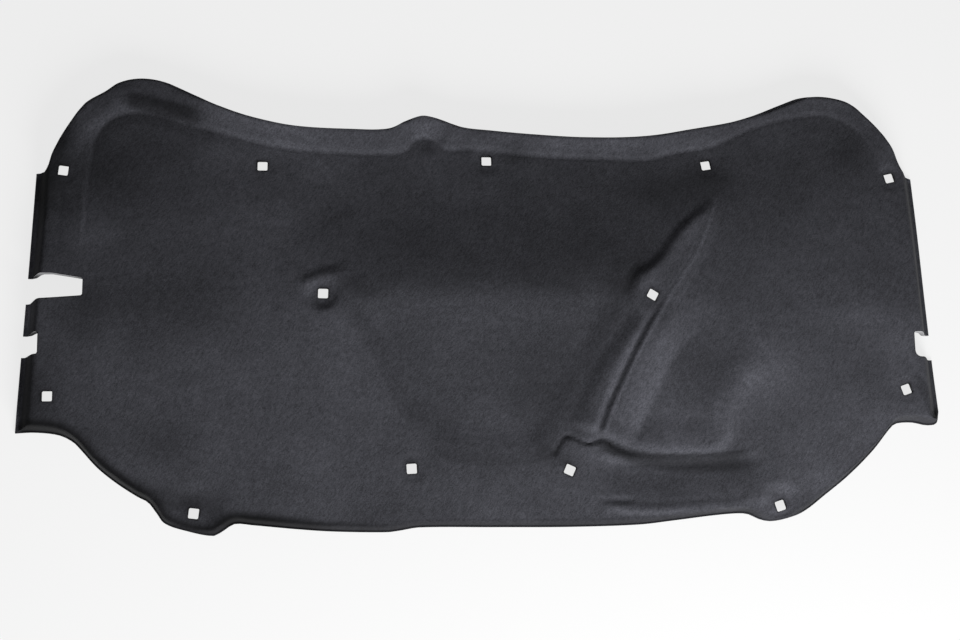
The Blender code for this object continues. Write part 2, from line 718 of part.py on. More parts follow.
def felt_material():
    material = bpy.data.materials.new("felt")
    material.use_nodes = True
    shader = material.node_tree.nodes["Principled BSDF"]
    shader.inputs["Base Color"].default_value = (0.030, 0.031, 0.034, 1.0)
    shader.inputs["Roughness"].default_value = 0.95
    shader.inputs["Metallic"].default_value = 0.0
    material.diffuse_color = (0.030, 0.031, 0.034, 1.0)
    return material


def main():
    for item in list(bpy.data.objects):
        bpy.data.objects.remove(item)
    parts = bpy.data.collections.new("Engine sound insulation pad")
    bpy.context.scene.collection.children.link(parts)
    punches = [clip_hole(clip) for clip in CLIPS] + [deep_notch(), small_notch(), right_notch()]
    mesh = pad_mesh(Moulding(), punches)
    mesh.materials.append(felt_material())
    parts.objects.link(bpy.data.objects.new("insulation_pad", mesh))


main()
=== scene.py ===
# Moulded felt sound insulation pad from under a car bonnet, lying with its engine side up.
# Lengths are in millimetres until a mesh is made; +X right, +Y windscreen edge, +Z up.

import math

import bpy
import numpy as np
from mathutils import Matrix


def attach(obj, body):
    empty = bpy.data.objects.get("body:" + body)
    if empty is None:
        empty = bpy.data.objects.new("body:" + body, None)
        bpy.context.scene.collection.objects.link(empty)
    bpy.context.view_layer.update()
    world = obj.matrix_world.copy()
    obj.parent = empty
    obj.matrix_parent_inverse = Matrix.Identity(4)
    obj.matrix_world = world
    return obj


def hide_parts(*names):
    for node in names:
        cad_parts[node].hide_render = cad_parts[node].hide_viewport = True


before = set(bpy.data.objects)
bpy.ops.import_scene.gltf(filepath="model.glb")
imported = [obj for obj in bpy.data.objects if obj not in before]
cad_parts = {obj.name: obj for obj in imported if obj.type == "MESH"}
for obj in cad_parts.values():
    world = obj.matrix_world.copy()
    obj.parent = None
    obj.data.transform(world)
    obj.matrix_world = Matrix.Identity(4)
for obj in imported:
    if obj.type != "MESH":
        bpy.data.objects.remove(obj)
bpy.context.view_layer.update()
print("frame loaded")

# Camera first: the photo's viewpoint, found from the pairs of holes

camera = {
    "lens": 56.25, "sensor": 36.0, "reach": 60.0,
    "place": (-0.1993, -0.4990, 2.0986),
    "right": (0.99616318, -0.02036387, 0.085113),
    "up": (0.00123887, 0.97573495, 0.21895154),
    "back": (-0.08750643, -0.21800602, 0.97201646),
}


# The columns of its turn are the picture's right, its up and the way back to the eye
def addCamera(values):
    data = bpy.data.cameras.new("viewpoint")
    data.sensor_width = values["sensor"]
    data.lens = values["lens"]
    data.clip_end = values["reach"]
    body = bpy.data.objects.new("viewpoint", data)
    bpy.context.scene.collection.objects.link(body)
    turn = Matrix((values["right"], values["up"], values["back"])).transposed()
    body.matrix_world = Matrix.Translation(values["place"]) @ turn.to_4x4()
    bpy.context.scene.camera = body


addCamera(camera)

# The pad's plan: outline points in four stretches, from corner to corner

plan = {
    "centre": (1.535, 0.041),
    "rear": (
        (-642, 186), (-630, 189), (-623, 211), (-607, 246), (-579, 290), (-550, 310),
        (-529, 325), (-499, 332), (-468, 329), (-441, 318), (-413, 304), (-382, 289),
        (-336, 273), (-275, 260), (-189, 256), (-141, 257), (-119, 268), (-99, 276),
        (-86, 278), (-64, 273), (-33, 261), (10, 256), (68, 251), (150, 247), (236, 249),
        (304, 260), (355, 270), (405, 284), (457, 305), (481, 314), (507, 317), (538, 313),
        (561, 303), (583, 282), (604, 258), (620, 232), (628, 206), (635, 192), (646, 187),
    ),
    "right": ((646, 187), (649, 106), (652, -10), (655, -105), (658, -167)),
    "front": (
        (-655, -188), (-629, -187), (-596, -191), (-576, -201), (-565, -212), (-542, -237),
        (-516, -258), (-487, -277), (-472, -285), (-460, -300), (-449, -314), (-423, -324),
        (-383, -332), (-369, -325), (-354, -316), (-329, -318), (-271, -324), (-220, -328),
        (-145, -330), (-127, -328), (-100, -324), (5, -325), (112, -326), (210, -324),
        (259, -319), (322, -312), (356, -310), (369, -312), (381, -318), (397, -322),
        (419, -319), (447, -309), (481, -285), (518, -257), (556, -222), (586, -188),
        (595, -183), (618, -182), (638, -186), (653, -184), (658, -167),
    ),
    "left": ((-655, -188), (-654, -150), (-649, -20), (-646, 60), (-642, 186)),
    "steps": {"rear": 360, "right": 60, "front": 360, "left": 60},  # points along each edge
    "length": 1313.0, "width": 600.0, "cell": 3.65,  # shared out in cells of this size
    "sideRows": (0, 2.5, 5.0),  # narrower rows of cells beside the edges
    "edgeRows": (0, 1.3, 2.5, 3.3, 4.2, 5.2, 6.4, 7.8, 9.6, 12, 15),
}

# Thickness of the pressed edge, the body, the seats and the slopes' wall, then the flat strip
# and the run of the slope along each edge
section = {
    "edge": 3.5, "body": 10.0, "seat": 4.0, "wall": 4.0,
    "sideStrip": 5.0, "sideSlope": 20.0, "plainStrip": 2.5, "rearSlope": 8.0, "frontSlope": 5.0,
}


# 3 t^2 - 2 t^3, from 0 to 1
def smooth(t):
    t = np.clip(t, 0.0, 1.0)
    return t * t * (3.0 - 2.0 * t)


# Raised cosine: 1 in the middle, 0 at the reach
def bell(t):
    return 0.5 + 0.5 * np.cos(math.pi * np.clip(np.abs(t), 0.0, 1.0))


# Full to half of the reach, then down to 0
def plateau(t):
    return smooth(2.0 - 2.0 * np.abs(t))


# Cubic through the points: at each, the tangent is the run between its neighbours divided
# by the length of the two chords; sampled at equal steps of length
def curveThrough(points, count, chordSteps=24):
    p = np.array(points, float)
    chord = np.hypot(*np.diff(p, axis=0).T)
    tangent = np.gradient(p, axis=0)
    tangent[1:-1] = (p[2:] - p[:-2]) / (chord[1:] + chord[:-1])[:, None]
    tangent[0] = (p[1] - p[0]) / chord[0]
    tangent[-1] = (p[-1] - p[-2]) / chord[-1]
    t = np.linspace(0.0, 1.0, chordSteps, endpoint=False)[None, :, None]
    a, b = p[:-1, None], p[1:, None]
    ta, tb = tangent[:-1, None] * chord[:, None, None], tangent[1:, None] * chord[:, None, None]
    path = (
        (2 * t**3 - 3 * t**2 + 1) * a + (t**3 - 2 * t**2 + t) * ta
        + (3 * t**2 - 2 * t**3) * b + (t**3 - t**2) * tb
    ).reshape(-1, 2)
    path = np.vstack([path, p[-1]])
    travelled = np.concatenate([[0.0], np.cumsum(np.hypot(*np.diff(path, axis=0).T))])
    marks = np.asarray(count) if np.ndim(count) else np.linspace(0.0, 1.0, count)
    marks = marks * travelled[-1]
    return np.column_stack([np.interp(marks, travelled, path[:, k]) for k in (0, 1)])


# Shares from 0 to 1: narrow steps at both ends, even ones between
def sharesWithEdges(length, rows, cell):
    near = np.array(rows) / length
    count = max(2, round((1.0 - 2.0 * near[-1]) * length / cell))
    count += (count + 2 * len(rows)) % 2  # an even number of cells
    between = np.linspace(near[-1], 1.0 - near[-1], count + 1)[1:-1]
    return np.concatenate([near, between, 1.0 - near[::-1]])


# Distance to a line of points, the side (+1 left of its run) and the length run so far;
# the least over all the line's segments
def distanceTo(x, y, line):
    best = np.full(x.shape, 1e9)
    side = np.ones(x.shape)
    along = np.zeros(x.shape)
    run = 0.0
    for (ax, ay), (bx, by) in zip(line[:-1], line[1:]):
        dx, dy = bx - ax, by - ay
        length = math.hypot(dx, dy)
        share = np.clip(((x - ax) * dx + (y - ay) * dy) / length**2, 0.0, 1.0)
        gap = np.hypot(x - ax - share * dx, y - ay - share * dy)
        nearer = gap < best
        best = np.where(nearer, gap, best)
        side = np.where(nearer, np.where(dx * (y - ay) - dy * (x - ax) >= 0.0, 1.0, -1.0), side)
        along = np.where(nearer, run + share * length, along)
        run += length
    return best, side, along, run


# Even-odd rule, one edge of the loop at a time
def insideLoop(x, y, loop):
    found = np.zeros(x.shape, bool)
    for (ax, ay), (bx, by) in zip(loop, np.roll(loop, -1, axis=0)):
        if ay == by:
            continue
        crosses = ((ay > y) != (by > y)) & (x < (bx - ax) * (y - ay) / (by - ay) + ax)
        found ^= crosses
    return found


# Value noise: random heights on a square lattice, blended with the smooth step
def softNoise(x, y, cell, seed, size=400):
    lattice = np.random.default_rng(seed).uniform(-1.0, 1.0, (size, size))
    gx, gy = x / cell + size / 2.0, y / cell + size / 2.0
    ix, iy = np.floor(gx).astype(int), np.floor(gy).astype(int)
    tx, ty = smooth(gx - ix), smooth(gy - iy)
    low = lattice[ix, iy] * (1 - tx) + lattice[ix + 1, iy] * tx
    high = lattice[ix, iy + 1] * (1 - tx) + lattice[ix + 1, iy + 1] * tx
    return low * (1 - ty) + high * ty


# The moulded relief

dome = {
    "height": 38.0, "crestY": 10.0, "bow": 8.0, "length": 260.0, "round": 14.0, "endRound": 80.0,
    "endFrom": 0.7, "endOver": 0.6,  # shares of the length over which it gets rounder
    "rearGrade": 15.0 / 240.0, "frontGrade": 26.0 / 335.0,
}


# Two slopes that meet in a soft crest: fall = grade * (hypot(distance, softness) - softness)
def domeHeight(x, y):
    beyond = y - dome["crestY"] - dome["bow"] * bell(x / dome["length"])
    endFrom, endOver = dome["length"] * dome["endFrom"], dome["length"] * dome["endOver"]
    middle = 1.0 - smooth((np.abs(x) - endFrom) / endOver)
    soft = dome["endRound"] + (dome["round"] - dome["endRound"]) * middle
    grade = np.where(beyond > 0.0, dome["rearGrade"], dome["frontGrade"])
    return dome["height"] - grade * (np.hypot(beyond, soft) - soft)


brim = {
    "crease": (
        (-566, 29), (-566, 96), (-564, 161), (-562, 198), (-556, 232), (-540, 258), (-520, 268),
        (-494, 273), (-458, 266), (-408, 250), (-352, 234), (-295, 221), (-209, 214),
        (-130, 213), (-112, 219), (-102, 233), (-85, 238), (-69, 232), (-60, 220), (-22, 221),
        (69, 212), (169, 208), (243, 207), (279, 217), (336, 227), (397, 256), (447, 271),
        (489, 279), (517, 279), (537, 272), (561, 253), (584, 213), (586, 156),
    ),
    "steps": 150, "depth": 0.5, "half": 4.0, "step": 1.3, "stepWidth": 5.0,
    "firstFade": 80.0, "lastFade": 230.0, "rise": 13.0, "earShare": 0.45, "earX": 380.0,
    "earBlend": 90.0, "width": 36.0, "rearY": 126.0, "rearBlend": 90.0, "sideFall": 5.0,
}


# A fine groove along the crease and a low step outside it, then a rise to the rear edge or a
# fall to the side
def brimHeight(x, y):
    gap, side, along, total = distanceTo(x, y, curveThrough(brim["crease"], brim["steps"]))
    ends = smooth(along / brim["firstFade"]) * smooth((total - along) / brim["lastFade"])
    rear = smooth((y - brim["rearY"]) / brim["rearBlend"])
    ear = smooth((np.abs(x) - brim["earX"]) / brim["earBlend"])
    rise = brim["rise"] * (1.0 - (1.0 - brim["earShare"]) * ear)
    outward = np.where(side > 0.0, gap, 0.0)
    lift = rise * rear - brim["sideFall"] * (1.0 - rear) * (x < 0.0)
    step = brim["step"] * smooth(outward / brim["stepWidth"])
    groove = brim["depth"] * bell(gap / brim["half"])
    return ends * (np.clip(outward / brim["width"], 0.0, 1.0) * lift + step - groove)


ridge = {
    "foot": (
        (336, 164), (318, 142), (300, 126), (277, 106), (263, 88), (247, 65), (230, 49),
        (210, 34), (200, 16), (196, 0), (195, -14), (198, -27), (190, -42), (176, -58),
        (162, -77), (138, -113), (121, -149), (108, -184), (98, -208),
    ),
    "lip": (
        (346, 166), (334, 133), (326, 110), (315, 84), (302, 59), (280, 25), (256, -10),
        (232, -50), (213, -84), (194, -122), (173, -166), (158, -206),
    ),
    "footSteps": 80, "lipSteps": 60,
    "height": 7.0, "flank": 17.0, "lowFlank": 28.0, "lean": 0.75, "lowLean": 0.1,
    "waist": 190.0, "blend": 60.0, "groove": 4.2, "grooveAt": 9.0, "grooveHalf": 7.0,
    "rim": 1.5, "rimHalf": 3.2, "bead": 0.8, "beadAt": 8.5, "side": 14.0, "apron": 46.0,
    "fade": 60.0, "end": 14.0,
}


# Up over the flank from its foot to the top, which leans to the lip and has a rim and a bead
# there; below the waist the top is level, with a groove, and the fall beyond the lip, height *
# (1 - share^3), widens to an apron
def ridgeHeight(x, y):
    gap, side, _, _ = distanceTo(x, y, curveThrough(ridge["foot"], ridge["footSteps"]))
    fromFoot = gap * side
    gap, side, along, total = distanceTo(x, y, curveThrough(ridge["lip"], ridge["lipSteps"]))
    toLip = -gap * side
    lower = smooth((along - ridge["waist"]) / ridge["blend"])
    width = np.maximum(fromFoot + toLip, 1.0)
    lean = ridge["lean"] * (1.0 - lower) + ridge["lowLean"] * lower
    top = 1.0 - lean * np.clip(fromFoot / width, 0.0, 1.0)
    beyond = np.clip(-toLip / (ridge["side"] + (ridge["apron"] - ridge["side"]) * lower), 0.0, 1.0)
    top = top * (1.0 - beyond**3)
    groove = ridge["groove"] * bell((toLip - ridge["grooveAt"]) / ridge["grooveHalf"]) * lower
    rim = ridge["rim"] * bell(toLip / ridge["rimHalf"])
    bead = ridge["bead"] * bell((toLip - ridge["beadAt"]) / ridge["rimHalf"]) * (1.0 - lower)
    ends = smooth(along / ridge["fade"]) * smooth((total - along) / ridge["end"])
    flank = ridge["flank"] + (ridge["lowFlank"] - ridge["flank"]) * lower
    return ends * smooth(fromFoot / flank) * (ridge["height"] * top - groove + rim + bead)


basin = {
    "border": (
        (-215, 0), (-188, -50), (-160, -93), (-126, -164), (-85, -208), (-2, -226), (72, -222),
        (96, -207), (122, -147), (167, -75), (190, -22), (200, 0), (100, 40), (-100, 40),
    ),
    "depth": 5.0, "slope": 38.0, "fade": 60.0,
}


# Depth * smooth step of the distance inside the border, fading towards the crest
def basinHeight(x, y):
    border = np.array(basin["border"], float)
    gap = distanceTo(x, y, np.vstack([border, border[:1]]))[0]
    share = np.where(insideLoop(x, y, border), smooth(gap / basin["slope"]), 0.0)
    return -basin["depth"] * share * smooth((dome["crestY"] - y) / basin["fade"])


# Line, height, reach to the left and to the right of its run, and the fade at its two ends
forms = {
    "hump": (
        ((196, -206), (237, -216), (293, -217), (316, -214), (328, -205), (335, -186), (343, -153),
         (364, -115), (396, -78)), 5.0, (46, 46), (15, 34), 25, 50,
    ),
    "trough": (
        ((140, -234), (200, -242), (250, -243), (330, -240), (395, -232)), -5.0, (10, 10),
        (50, 50), 40, 40,
    ),
    "mound": (
        ((-330, 8), (-215, 12), (-100, 19), (0, 20), (100, 19), (205, 12), (300, 8)),
        6.0, (130, 130), (200, 200), 120, 120,
    ),
    "browBehindDimple": (
        ((-272, 8), (-250, 18), (-226, 26), (-194, 33)), 2.5, (15, 20), (18, 22), 22, 30,
    ),
    "leftEarRoll": (
        ((-592, 196), (-583, 224), (-562, 257), (-538, 277), (-508, 286), (-474, 281), (-432, 263),
         (-395, 249)), 2.8, (30, 26), (17, 10), 30, 60,
    ),
    "frontWrinkle": (((150, -288), (178, -291), (206, -289)), -1.6, (5, 5), (6, 6), 12, 12),
    "frontBand": (
        ((150, -300), (230, -306), (300, -303), (375, -300)), 2.2, (14, 14), (9, 9), 30, 40,
    ),
    "footCrease": (
        ((88, -232), (97, -212), (107, -200), (122, -203), (139, -210), (162, -204), (177, -215),
         (214, -229)), -3.4, (4, 4), (6, 6), 12, 20,
    ),
    "longWrinkle": (((-267, 237), (-226, 172), (-174, 103)), -0.8, (4, 4), (5, 5), 30, 40),
    "rearFold": (
        ((-290, 245), (-262, 236), (-238, 214), (-214, 180)), -1.2, (4, 4), (7, 7), 20, 40,
    ),
    "shortWrinkle": (((-62, -36), (-52, -52), (-41, -72)), -0.6, (4, 4), (4, 4), 10, 12),
}


# value * profile of the distance over the reach of that side, fading at both ends; each reach
# goes from its first to its last value along the line
def strokes(x, y, rows, profile, steps=40):
    field = np.zeros(x.shape)
    for line, value, left, right, firstFade, lastFade in rows.values():
        gap, side, along, total = distanceTo(x, y, curveThrough(line, steps))
        ends = smooth(along / firstFade) * smooth((total - along) / lastFade)
        share = smooth(along / total)
        left = left[0] + (left[1] - left[0]) * share
        right = right[0] + (right[1] - right[0]) * share
        field += value * ends * profile(gap / np.where(side > 0.0, left, right))
    return field


# Clip holes: x, y, turn in degrees, then depth, radius and blend of the seat
clips = {
    "side": 14.2, "corner": 2.0,
    "holes": (
        (-599, 182, -7, 0.8, 14, 9), (-320, 192, 0, 0.8, 14, 9), (3, 203, 0, 0.8, 14, 9),
        (327, 198, 9, 0.8, 14, 9), (603, 180, 13, 0.8, 14, 9), (-233, 2, -2, 5.0, 11, 17),
        (236, -1, -29, 0.8, 14, 9), (-609, -141, 0, 0.8, 14, 9), (603, -138, 19, 0.8, 14, 9),
        (-110, -244, 3, 0.8, 14, 9), (112, -248, -24, 0.8, 14, 9),
        (-409, -302, -7, 6.0, 14, 34), (412, -301, 18, 6.5, 14, 22),
    ),
}


# The sum of all the forms
def bodyHeight(x, y):
    height = domeHeight(x, y) + brimHeight(x, y) + ridgeHeight(x, y) + basinHeight(x, y)
    return height + strokes(x, y, forms, bell)


# Distance from each of the four edge stretches
def edgeGaps(x, y):
    return {
        name: distanceTo(x, y, curveThrough(plan[name], count))[0]
        for name, count in plan["steps"].items()
    }


# Share of the way up from the pressed edge to the body, the least over the four stretches: a
# quarter sine beyond the strip, at the sides its mean with the smooth step
def edgeShare(gaps, inset):
    least = np.ones(gaps["rear"].shape)
    for name, gap in gaps.items():
        side = name in ("right", "left")
        strip = section["sideStrip"] if side else section["plainStrip"]
        slope = section["sideSlope"] if side else section[name + "Slope"]
        t = np.clip((gap - strip - inset) / slope, 0.0, 1.0)
        quarter = np.sin(t * math.pi / 2.0)
        least = np.minimum(least, 0.5 * (smooth(t) + quarter) if side else quarter)
    return least


# Seats: at each clip hole the height blends to a flat ring, which lies as the body round it
# does: its plane comes from the body's height at four points
def withSeats(x, y, height, drop):
    for cx, cy, _, depth, r, reach in clips["holes"]:
        east, west, north, south = bodyHeight(
            np.array([cx + r, cx - r, cx, cx]), np.array([cy, cy, cy + r, cy - r])
        )
        plane = (
            (east + west + north + south) / 4.0 - depth - drop
            + (x - cx) * (east - west) / (2.0 * r) + (y - cy) * (north - south) / (2.0 * r)
        )
        share = smooth((np.hypot(x - cx, y - cy) - r) / reach)
        height = plane + (height - plane) * share
    return height


# Painted light and shade on the felt, with some uneven felt tone among it: a level, soft lighter
# and darker spots (x, y, reach in x and y, factor at the centre), a painted shade ring round each
# clip hole, and painted light and shade along the edges (factor at the outline, width at the pad's
# left and at its right); the widths change over a run in x, and a share of them has the full factor
paintedLightAndShade = {
    "level": 1.06,
    "spots": (
        (-550, 186, 70, 50, 0.6), (-622, 192, 30, 56, 0.4), (-620, 150, 34, 52, 0.55),
        (-562, 92, 56, 32, 1.36), (-580, 276, 16, 22, 1.4), (-602, 234, 14, 36, 0.72),
        (-560, 250, 22, 22, 1.2), (-518, 294, 26, 15, 1.35), (-462, 314, 26, 10, 1.3),
        (-375, 276, 32, 14, 1.3), (-555, -5, 26, 30, 0.72), (-455, -8, 115, 44, 0.76),
        (-572, -48, 36, 34, 0.84), (-460, -66, 60, 36, 0.9), (-445, 88, 45, 26, 1.12),
        (-350, 120, 60, 38, 1.26), (-280, 78, 85, 46, 1.26), (-300, -12, 45, 45, 1.14),
        (-272, -110, 62, 95, 1.18), (-510, -130, 45, 55, 1.1), (-165, -150, 26, 62, 1.12),
        (-205, -115, 30, 50, 1.08), (-215, -46, 34, 20, 1.14), (-450, -205, 38, 26, 0.78),
        (-575, -205, 40, 36, 0.72), (-545, -242, 36, 34, 0.74), (-500, -278, 36, 18, 0.4),
        (-425, -288, 60, 20, 0.42), (-408, -318, 34, 10, 1.6), (-330, -314, 66, 9, 0.36),
        (-300, -262, 50, 40, 0.93), (-300, 258, 60, 14, 1.5), (-305, 228, 70, 34, 1.3),
        (-225, 198, 95, 28, 1.36), (-60, 200, 38, 38, 1.25), (-84, 222, 15, 12, 0.6),
        (-78, 250, 34, 13, 1.36), (12, 200, 26, 26, 1.3), (0, 60, 240, 130, 0.8),
        (-65, 115, 50, 36, 1.1), (50, 130, 40, 60, 0.9), (270, 155, 100, 32, 0.62),
        (318, 178, 46, 26, 0.72), (-385, 215, 36, 26, 1.16), (150, 60, 80, 130, 0.86),
        (90, 12, 50, 16, 0.86), (160, -38, 36, 24, 0.88), (42, -145, 34, 50, 0.9),
        (200, 230, 150, 15, 1.4), (38, 214, 20, 16, 0.7), (470, 180, 80, 50, 0.9),
        (550, 226, 34, 32, 0.7), (535, 205, 45, 40, 0.8), (480, 304, 50, 18, 1.2),
        (600, 198, 16, 18, 1.3), (350, 178, 32, 24, 0.76), (186, 8, 26, 40, 0.76),
        (90, -112, 84, 84, 0.7), (-92, -140, 34, 50, 0.84), (0, -240, 110, 22, 0.9),
        (-60, -30, 60, 50, 1.08), (100, 120, 40, 40, 1.1), (300, -96, 36, 36, 0.86),
        (275, -185, 60, 24, 1.2), (392, -118, 52, 46, 1.5), (480, 75, 120, 70, 1.14),
        (440, -30, 60, 40, 1.08), (310, -28, 32, 16, 1.2), (515, -32, 80, 18, 1.26),
        (575, -52, 60, 36, 1.14), (592, -92, 26, 44, 1.2), (545, -195, 50, 40, 1.14),
        (455, -272, 48, 18, 1.2), (-622, -142, 32, 60, 0.56), (-640, -25, 14, 26, 2.2),
        (-170, -283, 95, 44, 0.86), (88, -226, 28, 20, 0.66), (158, -222, 34, 9, 1.2),
        (-168, 2, 24, 14, 0.74), (-112, -232, 12, 6, 0.7), (108, -236, 12, 7, 0.65),
        (408, -287, 13, 7, 0.66), (412, -314, 26, 8, 2.0), (618, -182, 34, 7, 1.6),
        (225, 12, 14, 16, 1.2), (-196, 14, 24, 16, 0.74), (120, -196, 18, 14, 0.72),
        (285, -125, 38, 32, 0.86), (515, 298, 40, 22, 1.2), (-120, -306, 150, 16, 0.86),
        (230, -285, 110, 30, 0.89), (-210, 240, 90, 22, 1.15),
    ),
    "rear": (1.9, 9.0, 9.0), "right": (0.75, 26.0, 26.0),
    "front": (0.3, 22.0, 12.0), "left": (0.55, 36.0, 36.0),
    "fullShare": 0.35, "changeFrom": -420.0, "changeOver": 380.0,
    "holeShadeDepth": 0.35, "holeShadeReach": 4.5,
}

# Painted light and shade strokes: painted highlights on the lit slopes, lips and rims, painted
# shade in the troughs, creases and beside the ridge, and painted light on the shadowed left strip;
# line, change of tone, and reach and fades as for the forms
paintedShadingStrokes = {
    "leftEdge": (
        ((-656, -196), (-654, -150), (-649, -20), (-646, 60), (-642, 194)), 3.0, (10, 10),
        (10, 10), 4, 4,
    ),
    "frontLeftEdge": (
        ((-658, -190), (-596, -193), (-542, -239), (-487, -279), (-449, -316), (-383, -334),
         (-354, -318), (-271, -326), (-200, -330)), -0.55, (18, 14), (18, 14), 4, 60,
    ),
    "earBand": (
        ((-524, 288), (-495, 285), (-459, 275), (-423, 265), (-392, 252)), -0.6, (18, 18),
        (13, 13), 20, 40,
    ),
    "underEar": (
        ((-560, 205), (-552, 232), (-538, 254), (-518, 264), (-494, 266), (-458, 258), (-408, 243),
         (-370, 232)), -0.22, (7, 7), (16, 16), 30, 30,
    ),
    "brow": (
        ((-262, 18), (-240, 26), (-210, 37), (-180, 38)), -0.22, (9, 13), (9, 9), 20, 30,
    ),
    "basinSide": (
        ((-205, -18), (-160, -93), (-126, -164), (-92, -206)), -0.12, (26, 26), (4, 4), 30, 20,
    ),
    "basinSlope": (((-80, -188), (-2, -204), (78, -196)), 0.2, (14, 14), (10, 10), 30, 30),
    "basinFront": (
        ((-92, -208), (-50, -224), (-2, -230), (60, -228), (100, -212)), -0.18, (10, 10),
        (14, 14), 30, 20,
    ),
    "bossShadow": (
        ((325, 158), (256, 95), (212, 44), (188, 12), (178, -20)), -0.08, (4, 4), (26, 30), 30, 30,
    ),
    "footShadow": (((186, -50), (150, -112), (110, -190)), -0.08, (6, 6), (26, 22), 20, 20),
    "bossFoot": (((226, 50), (209, 32), (199, 12), (194, -8)), -0.4, (9, 9), (8, 8), 12, 14),
    "upperTop": (
        ((322, 130), (290, 88), (256, 48), (234, 10)), 0.16, (15, 15), (13, 13), 30, 20,
    ),
    "crown": (
        ((212, -48), (198, -87), (179, -123), (167, -152), (156, -180), (145, -202)), 0.3,
        (6, 6), (11, 11), 20, 14,
    ),
    "lip": (
        ((342, 156), (326, 110), (302, 59), (256, -10), (213, -84), (173, -166), (160, -202)),
        0.5, (4, 4), (3, 3), 30, 14,
    ),
    "apron": (
        ((306, -36), (274, -57), (258, -78), (243, -100), (227, -136), (211, -165), (195, -196)),
        0.34, (20, 20), (32, 38), 40, 14,
    ),
    "humpRim": (
        ((232, -221), (300, -220), (330, -216), (340, -200), (342, -175), (348, -150), (358, -125)),
        0.22, (34, 34), (7, 9), 30, 40,
    ),
    "trough": (
        ((150, -203), (187, -219), (212, -228), (232, -231), (300, -232), (340, -230), (385, -222)),
        -0.6, (6, 6), (18, 32), 20, 40,
    ),
    "footCrease": (((88, -232), (97, -212), (107, -201), (122, -203)), -0.35, (5, 5), (6, 6), 8, 8),
    "frontBand": (
        ((150, -302), (230, -307), (300, -304), (390, -296), (440, -280)), 0.26, (10, 10),
        (8, 8), 30, 30,
    ),
    "rightPatch": (((610, -108), (634, -150), (642, -180)), -0.3, (9, 9), (11, 11), 20, 20),
}


# Cosine and sine of a turn in degrees
def turnOf(degrees):
    return math.cos(math.radians(degrees)), math.sin(math.radians(degrees))


# Painted light and shade, with some uneven felt tone: level * the product over the spots of
# 1 + (factor - 1) * exp(-distance^2 / reach^2), then 1 + the strokes, 1 - a bell over each hole's
# painted shade ring, and for each edge factor + (1 - factor) * the smooth step of the distance
def paintedLightAndShadeAt(x, y, gaps):
    tone = np.full(x.shape, paintedLightAndShade["level"])
    for cx, cy, reachX, reachY, factor in paintedLightAndShade["spots"]:
        fall = np.exp(-((x - cx) / reachX)**2 - ((y - cy) / reachY)**2)
        tone *= 1.0 + (factor - 1.0) * fall
    tone *= 1.0 + strokes(x, y, paintedShadingStrokes, plateau)
    for cx, cy, turn, *_ in clips["holes"]:
        c, s = turnOf(turn)
        across, up = np.abs((x - cx) * c + (y - cy) * s), np.abs((y - cy) * c - (x - cx) * s)
        beyond = np.maximum(across, up) - clips["side"] / 2.0
        tone *= 1.0 - paintedLightAndShade["holeShadeDepth"] * bell(beyond / paintedLightAndShade["holeShadeReach"])
    change = smooth((x - paintedLightAndShade["changeFrom"]) / paintedLightAndShade["changeOver"])
    full = paintedLightAndShade["fullShare"]
    for name, gap in gaps.items():
        factor, first, last = paintedLightAndShade[name]
        share = gap / (first + (last - first) * change)
        tone *= factor + (1.0 - factor) * smooth((share - full) / (1.0 - full))
    return tone


# Grid between four edges: each pair blended across, the corners' blend taken off
def patch(u, v):
    rear, front = curveThrough(plan["rear"], u), curveThrough(plan["front"], u)
    left, right = curveThrough(plan["left"], v), curveThrough(plan["right"][::-1], v)
    s, t = u[None, :, None], v[:, None, None]
    blended = (1 - t) * front[None] + t * rear[None] + (1 - s) * left[:, None] + s * right[:, None]
    corners = (
        (1 - s) * (1 - t) * front[0] + s * (1 - t) * front[-1]
        + (1 - s) * t * rear[0] + s * t * rear[-1]
    )
    return blended - corners


# Quads of a grid of rows by columns, its first vertex at start
def gridQuads(rows, columns, start, flip):
    index = start + np.arange(rows * columns).reshape(rows, columns)
    quads = np.stack([index[:-1, :-1], index[:-1, 1:], index[1:, 1:], index[1:, :-1]], axis=-1)
    quads = quads.reshape(-1, 4)
    return quads[:, ::-1] if flip else quads


# Indices once round the border of such a grid
def gridRim(rows, columns, start):
    index = start + np.arange(rows * columns).reshape(rows, columns)
    return np.concatenate([index[0, :-1], index[:-1, -1], index[-1, :0:-1], index[:0:-1, 0]])


# Uneven felt: height, cell and seed of each noise
surfaceLumps = ((0.6, 85.0, 3), (0.32, 34.0, 5), (0.14, 14.0, 8))


